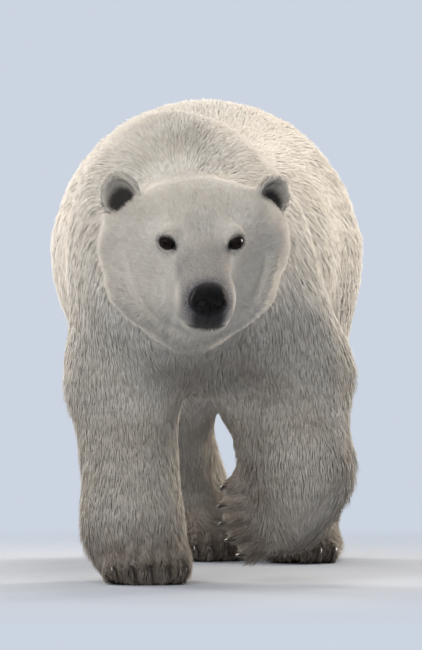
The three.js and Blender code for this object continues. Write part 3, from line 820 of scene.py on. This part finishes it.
def ear_hollow(points, ear):
    """1 in the middle of an ear's hollow, 0 at its rim and on its back."""
    facing, middle = ear_axis(ear)
    away = points - middle
    forward = away @ facing
    across = np.linalg.norm(away - forward[:, None] * facing, axis=1)
    deep = np.linalg.norm(points - middle - HEAD.turned([-0.012 * side_of(ear), 0.004, -0.024]), axis=1)
    inside = smooth_step(across, 0.048, 0.032) * (forward > -0.026)
    return inside * (0.08 + 0.92 * smooth_step(deep, 0.048, 0.026))


LEG_JOINTS = {leg: [centre(f"{leg}_{part}") for part in ("upper", "lower", "paw")] for leg in LEGS}


def lie_of_hair(surface, normals, labels):
    """A unit tangent at each point, from the nose back over the body and down the legs."""
    points = surface.points
    names = np.array(FLESH)[labels]
    side = np.abs(normals[:, 0])
    flow = np.stack([np.zeros(len(points)), 0.55 + 0.6 * normals[:, 2], -0.25 - 0.75 * side], 1)
    rear = smooth_step(points[:, 1], 0.55, 0.85)[:, None]
    flow = flow * (1 - rear) + np.array([0, 0.1, -1.0]) * rear
    neck = names == "neck"
    under = normals[neck, 2] < 0.3
    flow[neck] = np.where(under[:, None], [0, 0.6, -0.8], [0, 0.6, -0.3])
    head = on_head(labels)
    flow[head] = unit(points[head] - centre("nose")) + HEAD.turned([0, 0.25, 0])
    beard = head & (HEAD.inside(points)[:, 2] < -0.12)
    flow[beard] = flow[beard] + [0, -0.2, -1.2]
    for ear in EARS:
        mine = names == ear
        flow[mine] = unit(points[mine] - ear_foot(ear))
    for leg in LEGS:
        top, elbow, paw = LEG_JOINTS[leg]
        foot, _ = paw_frame(leg)
        for part, direction in (
            ("upper", unit(elbow - top) + [0, 0.15, 0]),
            ("lower", unit(paw - elbow) + [0, 0.12, 0]),
        ):
            flow[names == f"{leg}_{part}"] = direction
        mine = names == f"{leg}_paw"
        toes = smooth_step(foot.inside(points[mine])[:, 1], 0.13, 0.03)[:, None]
        flow[mine] = unit(paw - elbow) * (1 - toes) - (foot.axes[1] + 0.45 * foot.axes[2]) * toes
    flow = tangent(unit(flow), normals)
    for _ in range(4):
        flow = tangent(surface.smoothed(flow, 12), normals)
    for eye in EYES:
        away = points - eye.centre
        share = smooth_step(np.linalg.norm(away, axis=1), 0.045, 0.020)[:, None]
        flow = tangent(flow * (1 - share) + unit(away) * share, normals)
    return flow


def tangent(vectors, normals):
    return unit(vectors - normals * (vectors * normals).sum(1, keepdims=True))


# ---- The coat ----

# The nodes that each piece of coat covers, and whether it is their left half; None for the whole of them.
COAT_PIECES = {
    "coat_head_left": (("head", "jaw", *EARS), True),
    "coat_head_right": (("head", "jaw", *EARS), False),
    "coat_neck": (("neck",), None),
    "coat_trunk_left": (("trunk", "tail"), True),
    "coat_trunk_right": (("trunk", "tail"), False),
}
for leg in LEGS:
    COAT_PIECES[f"coat_{leg}"] = (tuple(n for n in FLESH if n.startswith(leg)), None)
MOST_TUFTS = dict(head=31000, fore=31000, hind=23000)  # in one piece of coat
MOST_TUFTS_ELSEWHERE = 32500
WAIST = 0.36  # how far along a tuft its widest place lies
GROUND_GAP = 0.0005  # no hair reaches lower than this
PATCH = 0.0015  # half a tuft's patch on the coat's map


def wavy(points, size, seed):
    """A smooth random vector field, as a sum of waves about a size long."""
    waves = np.random.default_rng(seed)
    total = np.zeros_like(points)
    for _ in range(7):
        way = unit(waves.normal(size=3)) * 2 * math.pi / (size * waves.uniform(0.7, 1.5))
        total += np.sin(points @ way + waves.uniform(0, 6.28))[:, None] * waves.normal(size=3)
    return total / math.sqrt(7)


def unwrapped(points, normals):
    """Places on a map of six views of the piece's own box, side by side."""
    low, high = points.min(0), points.max(0)
    share = (points - low) / np.maximum(high - low, 1e-6)
    axis = np.argmax(np.abs(normals), axis=1)
    rows = np.arange(len(points))
    positive = normals[rows, axis] > 0
    u = share[rows, (axis + 1) % 3]
    v = share[rows, (axis + 2) % 3]
    margin = 0.02
    inner = 1 - 2 * margin
    return np.stack([(axis + margin + inner * u) / 3, (positive + margin + inner * v) / 2], 1)


def tufts(roots, normals, flow, length, width, lift):
    """Closed spindles of six faces: a root under the skin, a ridged waist, and a tip that lies back."""
    across = np.cross(flow, normals)
    rise, run = np.sin(lift)[:, None], np.cos(lift)[:, None]
    tip = roots + length[:, None] * (run * flow + rise * normals)
    waist_lift = lift + math.radians(6)
    waist = roots + WAIST * length[:, None] * (
        np.cos(waist_lift)[:, None] * flow + np.sin(waist_lift)[:, None] * normals
    )
    half = width[:, None] / 2
    corners = [
        roots - normals * (0.12 * width[:, None] + 0.001),
        waist - across * half,
        waist + across * half,
        waist + normals * half * 0.34,
        tip,
    ]
    points = np.stack(corners, 1).reshape(-1, 3)
    one = np.array([[0, 3, 1], [0, 2, 3], [0, 1, 2], [4, 1, 3], [4, 3, 2], [4, 2, 1]])
    faces = (np.arange(len(roots))[:, None, None] * 5 + one).reshape(-1, 3)
    soft = [
        normals,
        unit(normals - 0.20 * across),
        unit(normals + 0.20 * across),
        normals,
        unit(normals + 0.15 * flow),
    ]
    return points, faces, np.stack(soft, 1).reshape(-1, 3)


def scattered(cells, counts):
    """Random places in the given cells: which cell, and the weights of its four corners."""
    where = np.repeat(cells, counts)
    s, t = RANDOM.random((2, len(where)))
    weights = np.stack([(1 - s) * (1 - t), s * (1 - t), s * t, (1 - s) * t], 1)
    return where, weights


def coat_piece(name, surface, cells, fields, material, skin_normals, flow):
    """Tufts at random places in the given cells of the skin, as one piece."""
    areas = surface.areas()[cells]
    quads = surface.quads[cells]
    wanted = areas * fields["density"][quads].mean(1)
    most = next((most for part, most in MOST_TUFTS.items() if part in name), MOST_TUFTS_ELSEWHERE)
    wanted *= min(1.0, most * 0.995 / wanted.sum())
    counts = np.floor(wanted + RANDOM.random(len(cells))).astype(int)
    where, weights = scattered(cells, counts)
    corners = surface.quads[where]

    def at(values):
        picked = values[corners]
        return np.einsum("ij,ij...->i...", weights, picked)

    roots = at(surface.points)
    normals = unit(at(skin_normals))
    lean = wavy(roots, 0.07, 5) * 0.11 + wavy(roots, 0.022, 6) * 0.06 + RANDOM.normal(0, 0.07, roots.shape)
    along = tangent(at(flow) + lean, normals)
    clump = 1 + 0.12 * wavy(roots, 0.03, 7)[:, 0]
    length = at(fields["length"]) * clump * RANDOM.uniform(0.72, 1.18, len(roots))
    width = at(fields["width"]) * RANDOM.uniform(0.7, 1.25, len(roots))
    lift = at(fields["lift"]) + 1.3 * wavy(roots, 0.035, 8)[:, 0] + RANDOM.normal(0, 1.5, len(roots))
    lift = np.radians(np.clip(lift, 3, 60))
    points, faces, soft = tufts(roots, normals, along, length, width, lift)
    points[:, 2] = np.maximum(points[:, 2], GROUND_GAP)
    mesh = mesh_of(name, points, faces)
    mesh.shade_smooth()
    mesh.normals_split_custom_set_from_vertices(soft)
    give_attribute(mesh, "along", np.tile([0.0, WAIST, WAIST, 0.4, 1.0], len(roots)))
    give_attribute(mesh, "shade", np.repeat(RANDOM.random(len(roots)), 5))
    for mark, least in (("soil", 0.8), ("thin", 0.55), ("bare", 1.0)):
        give_attribute(mesh, mark, np.repeat(at(fields[mark]) * RANDOM.uniform(least, 1.0, len(roots)), 5))
    places = unwrapped(roots, normals)
    corner_places = np.array([[0, -1], [-1, 0], [1, 0], [0, 0.1], [0, 1]]) * PATCH
    vertex_map = (places[:, None, :] + corner_places).reshape(-1, 2)
    layer = mesh.uv_layers.new(name="OFBake")
    layer.uv.foreach_set("vector", vertex_map[faces.ravel()].astype(np.float32).ravel())
    return piece(name, mesh, material)


def make_coat(surface, labels, fields, normals, flow):
    material = coat_material()
    owner = np.array(FLESH)[labels[surface.quads[:, 0]]]
    across = surface.points[surface.quads[:, 0], 0]
    for name, (nodes, left) in COAT_PIECES.items():
        middle = HEAD.origin[0] if "head" in name else 0.0
        chosen = np.isin(owner, nodes)
        if left is not None:
            chosen &= (across > middle) == left
        coat_piece(name, surface, np.flatnonzero(chosen), fields, material, normals, flow)


# ---- Eyes, nose and claws ----


def globe(columns, rows):
    """Points of a unit ball by row and column, its two poles last, and its faces as triangles."""
    turn = np.linspace(0, 2 * math.pi, columns, endpoint=False)
    tilt = np.linspace(0, math.pi, rows + 1)[1:-1]
    ring = np.stack([np.outer(np.sin(tilt), np.cos(turn)), np.outer(np.sin(tilt), np.sin(turn)),
                     np.outer(np.cos(tilt), np.ones(columns))], -1).reshape(-1, 3)
    points = np.concatenate([ring, [[0, 0, 1], [0, 0, -1]]])
    top, bottom = len(ring), len(ring) + 1
    faces = []
    for r in range(rows - 2):
        for c in range(columns):
            d = (c + 1) % columns
            a, b = r * columns, (r + 1) * columns
            faces += [[a + c, b + c, b + d], [a + c, b + d, a + d]]
    last = (rows - 2) * columns
    for c in range(columns):
        d = (c + 1) % columns
        faces += [[top, c, d], [bottom, last + d, last + c]]
    return points, np.array(faces)


def make_eyes(material):
    for eye in EYES:
        points, faces = globe(48, 36)
        cornea = 1 + 0.05 * smooth_step(points[:, 2], 0.80, 0.93)
        placed = (points * cornea[:, None] * eye.radius) @ eye.axes + eye.centre
        if side_of(eye.node) < 0:
            faces = faces[:, ::-1]
        name = eye.node.replace("eye", "eyeball")
        mesh = mesh_of(name, placed, faces)
        mesh.shade_smooth()
        give_attribute(mesh, "iris", np.arccos(np.clip(points[:, 2], -1, 1)) / math.pi * 2)
        piece(name, mesh, material, [eye.node])


def make_nose(material):
    """The pad: narrower above and below, with two nostrils that curl outward and a groove between them."""
    points, faces = globe(132, 96)
    x, y, z = points[:, 0], -points[:, 2], points[:, 1]
    round_, square = np.hypot(x, z), (x ** 4 + z ** 4) ** 0.25
    push = np.where(round_ > 1e-6, round_ / np.maximum(square, 1e-9), 1) ** 0.5
    x, z = x * push, z * push
    x = x * (1 - 0.17 * np.clip(z, 0, 1) - 0.26 * np.clip(-z, 0, 1) ** 2)
    wide = np.abs(x)
    front = smooth_step(-y, 0.0, 0.35)
    nostril = np.exp(-(((wide - 0.46) / 0.21) ** 2 + ((z - 0.02) / 0.22) ** 2) ** 1.6)
    slit = np.exp(-(((wide - 0.70) / 0.19) ** 2 + ((z + 0.17 + 0.5 * (wide - 0.70)) / 0.10) ** 2))
    wing = np.exp(-((np.hypot((wide - 0.47) / 1.0, (z - 0.02) / 1.1) - 0.34) / 0.09) ** 2)
    groove = line(x, 0.045) * smooth_step(z, 0.35, 0.0)
    inward = (0.0135 * nostril + 0.0060 * slit - 0.0007 * wing + 0.0028 * groove) * front
    local = np.stack([x, y, z], 1) * NOSE_RADII + NOSE_IN_HEAD
    local[:, 1] += inward
    mesh = mesh_of("nose_pad", HEAD.outside(local), faces)
    mesh.shade_smooth()
    piece("nose_pad", mesh, material, ["nose"])


def make_claws(material):
    for leg in LEGS:
        local, _ = paw_frame(leg)
        names = [f"{leg}_claw_{i + 1}" for i in range(5)]
        all_points, all_faces, along, total = [], [], [], 0
        for name in names:
            root, tip = claw_ends(name)
            points, faces, share = claw(root, tip, -local.axes[1], local.axes[2])
            all_points.append(points)
            all_faces.append(faces + total)
            along.append(share)
            total += len(points)
        mesh = mesh_of(f"claws_{leg}", np.concatenate(all_points), np.concatenate(all_faces))
        mesh.shade_smooth()
        give_attribute(mesh, "along", np.concatenate(along))
        piece(f"claws_{leg}", mesh, material, names)


def claw(root, tip, forward, up):
    """A horn that bends down from the paw's own level to its tip."""
    rings, sides = 12, 12
    share = np.linspace(0, 1, rings)
    bend = root + forward * np.linalg.norm(tip - root) * 0.62 - up * 0.002
    near, middle, far = (1 - share) ** 2, 2 * share * (1 - share), share ** 2
    spine = near[:, None] * root + middle[:, None] * bend + far[:, None] * tip
    way = unit(np.gradient(spine, axis=0))
    left = unit(np.cross(up, forward))
    over = np.cross(way, left)
    radius = 0.0068 * (1 - share ** 1.6) ** 0.75 + 0.0004
    turn = np.linspace(0, 2 * math.pi, sides, endpoint=False)
    points = (
        spine[:, None, :]
        + radius[:, None, None] * np.cos(turn)[None, :, None] * left
        + 1.3 * radius[:, None, None] * np.sin(turn)[None, :, None] * over[:, None, :]
    ).reshape(-1, 3)
    points = np.concatenate([points, [root, tip]])
    faces = []
    for r in range(rings - 1):
        for c in range(sides):
            d = (c + 1) % sides
            a, b = r * sides, (r + 1) * sides
            faces += [[a + c, b + c, b + d], [a + c, b + d, a + d]]
    first, last = len(points) - 2, len(points) - 1
    for c in range(sides):
        d = (c + 1) % sides
        faces += [[first, c, d], [last, (rings - 1) * sides + d, (rings - 1) * sides + c]]
    return points, np.array(faces), np.concatenate([np.repeat(share, sides), [0, 1]])


# ---- Camera, light, floor ----


def make_camera():
    data = bpy.data.cameras.new("camera")
    data.sensor_width = SENSOR
    data.lens = SENSOR * CAMERA_DISTANCE / VIEW_HEIGHT
    data.clip_end = 200
    camera = bpy.data.objects.new("camera", data)
    bpy.context.scene.collection.objects.link(camera)
    aim = (CAD_BOX[0] + CAD_BOX[1]) / 2 + CAMERA_AIM
    back = Vector((0, -math.cos(CAMERA_ELEVATION), math.sin(CAMERA_ELEVATION)))
    camera.location = aim + back * CAMERA_DISTANCE
    camera.rotation_euler = (-back).to_track_quat("-Z", "Y").to_euler()
    bpy.context.scene.camera = camera


LAMP_SPREAD = math.radians(60)
LAMP_AIM = Vector((0, 0, 0.9))
# Each lamp's place, size, power in watts and colour.
LAMPS = {
    "rim_left": ((3.6, 3.0, 1.6), 1.6, 27, (1.0, 0.88, 0.74)),
    "rim_right": ((-3.4, 3.1, 1.6), 1.6, 24, (1.0, 0.90, 0.80)),
    "rim_top": ((0.4, 1.6, 4.4), 1.8, 8, (1.0, 0.92, 0.82)),
    "key": ((-2.6, -5.0, 3.4), 3.6, 22, (1.0, 0.97, 0.93)),
}


def make_lamp(name, place, size, power, colour):
    data = bpy.data.lights.new(name, "AREA")
    data.shape = "DISK"
    data.size = size
    data.spread = LAMP_SPREAD
    data.energy = power
    data.color = colour
    lamp = bpy.data.objects.new(name, data)
    bpy.context.scene.collection.objects.link(lamp)
    lamp.location = place
    lamp.rotation_euler = (LAMP_AIM - Vector(place)).to_track_quat("-Z", "Y").to_euler()


BACKDROP = (0.60, 0.66, 0.75, 1)
WORLD_LIGHT = (0.97, 0.97, 1.0, 1)
WORLD_STRENGTH = 0.66
FLOOR_TONES = (0.50, 0.54, 0.60, 1), (0.54, 0.58, 0.64, 1)
FLOOR_RADIUS = 60.0
FLOOR_SIDES = 64
FADE = (0.8, 2.1)  # how far from the bear the floor starts and ends to fade into the backdrop


def make_world():
    """Even light from all round; the camera sees the backdrop's colour instead."""
    world = bpy.data.worlds.new("world")
    bpy.context.scene.world = world
    world.use_nodes = True
    nodes, links = world.node_tree.nodes, world.node_tree.links
    light = nodes["Background"]
    light.inputs["Color"].default_value = WORLD_LIGHT
    light.inputs["Strength"].default_value = WORLD_STRENGTH
    seen = nodes.new("ShaderNodeBackground")
    seen.inputs["Color"].default_value = BACKDROP
    seen.inputs["Strength"].default_value = 1.0
    path = nodes.new("ShaderNodeLightPath")
    mix = nodes.new("ShaderNodeMixShader")
    links.new(path.outputs["Is Camera Ray"], mix.inputs[0])
    links.new(light.outputs[0], mix.inputs[1])
    links.new(seen.outputs[0], mix.inputs[2])
    links.new(mix.outputs[0], nodes["World Output"].inputs["Surface"])


def floor_material():
    paint = Nodes("floor")
    tone = paint.mixed(paint.noise(1.5, 4.0), *FLOOR_TONES)
    paint.bump(paint.noise(12.0, 5.0), 0.01, 0.2)
    paint.shade(Base_Color=tone, Roughness=0.9, Specular_IOR_Level=0.1)
    away = paint.node("VectorMath", operation="LENGTH")
    paint.feed(away.inputs[0], paint.coordinates())
    far = paint.ramp(away.outputs["Value"], *FADE)
    ray = paint.node("LightPath").outputs["Is Camera Ray"]
    glow = paint.node("Emission", Color=BACKDROP)
    both = paint.node("MixShader")
    paint.feed(both.inputs[0], paint.math("MULTIPLY", far, ray))
    paint.feed(both.inputs[1], paint.shader.outputs[0])
    paint.feed(both.inputs[2], glow.outputs[0])
    paint.feed(paint.tree.nodes["Material Output"].inputs["Surface"], both.outputs[0])
    return paint.material


def make_floor():
    turn = np.linspace(0, 2 * math.pi, FLOOR_SIDES, endpoint=False)
    ring = FLOOR_RADIUS * np.stack([np.cos(turn), np.sin(turn), 0 * turn], 1)
    faces = np.array([[FLOOR_SIDES, i, (i + 1) % FLOOR_SIDES] for i in range(FLOOR_SIDES)])
    mesh = mesh_of("floor", np.concatenate([ring, [[0, 0, 0]]]), faces)
    mesh.materials.append(floor_material())
    floor = bpy.data.objects.new("floor", mesh)
    bpy.context.scene.collection.objects.link(floor)


def make_stage():
    make_world()
    make_floor()
    for name, settings in LAMPS.items():
        make_lamp(name, *settings)
    bpy.context.scene.view_settings.view_transform = "Standard"


# ---- The model ----

make_camera()
make_stage()

surface, labels = make_envelope()
outer_normals = surface.normals()
fields = shaped_measures(surface, outer_normals, labels, coat_measures(surface, labels))
fields.update(markings(surface, outer_normals, labels))
surface.points = surface.points - outer_normals * fields["depth"][:, None]
set_nose(surface)
set_lids(surface)
skin_normals = surface.normals()
flow = lie_of_hair(surface, skin_normals, labels)

skin_mesh = mesh_of("skin", surface.points, surface.quads)
skin_mesh.shade_smooth()
for mark in ("soil", "thin", "bare"):
    give_attribute(skin_mesh, mark, fields[mark])
piece("skin", skin_mesh, skin_material(), FLESH)
make_coat(surface, labels, fields, skin_normals, flow)
make_eyes(eye_material())
make_nose(leather_material("nose_leather", (0.004, 0.0035, 0.004, 1), 0.62, 0.0018))
make_claws(horn_material())
